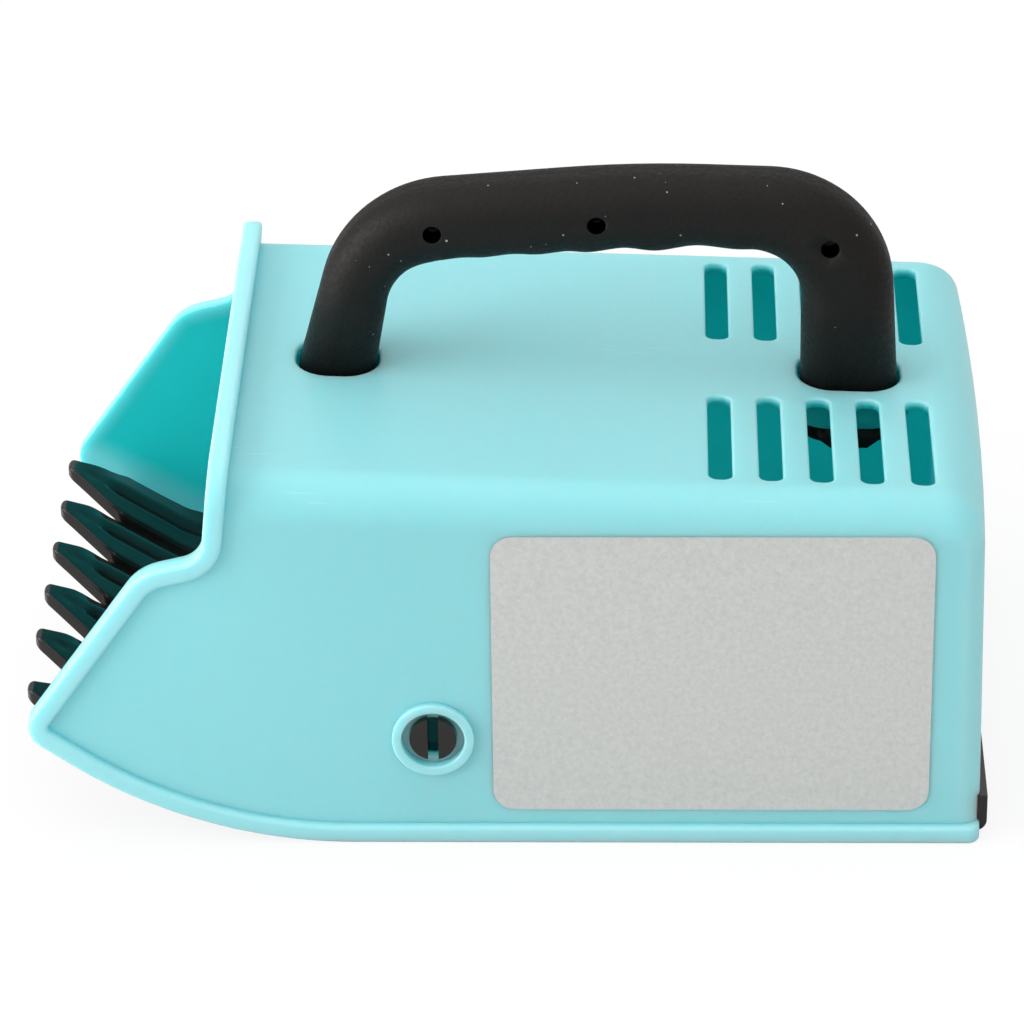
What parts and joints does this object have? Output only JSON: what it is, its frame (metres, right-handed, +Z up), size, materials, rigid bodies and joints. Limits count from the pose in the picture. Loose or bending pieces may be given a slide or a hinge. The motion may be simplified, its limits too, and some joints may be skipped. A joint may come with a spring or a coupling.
{
  "type": "berry picking rake",
  "caption": "Hand-held berry rake: moulded box with an open mouth, a pointed comb and swinging floor on snap pins, and a bow handle screwed from two halves.",
  "frame": {"origin": "centre of the object's box at the level of the surface that the lower rim stands on", "axes": "+X to the rear wall, away from the mouth; +Y to the far side, away from the sticker; +Z up"},
  "size_m": [0.1574, 0.0942, 0.0999],
  "materials": {
    "shell_plastic": "satin turquoise polypropylene moulding",
    "comb_plastic": "glossy black moulding",
    "grip_plastic": "soft-touch black with a fine grain",
    "screw_steel": "blackened steel",
    "label_film": "silver-grey speckled film"
  },
  "bodies": {
    "rake_body": {"body_shell": "shell_plastic", "handle_half_near": "grip_plastic", "handle_half_far": "grip_plastic", "handle_screw_front": "screw_steel", "handle_screw_middle": "screw_steel", "handle_screw_rear": "screw_steel", "label_sticker": "label_film"},
    "tray": {"comb_tray": "comb_plastic"}
  },
  "joints": [
    {"name": "tray_hinge", "type": "hinge", "parent": "rake_body", "child": "tray", "pos_m": [-0.0118, 0, 0.0195], "axis": [0, 1, 0], "range_deg": [0, 35]}
  ]
}
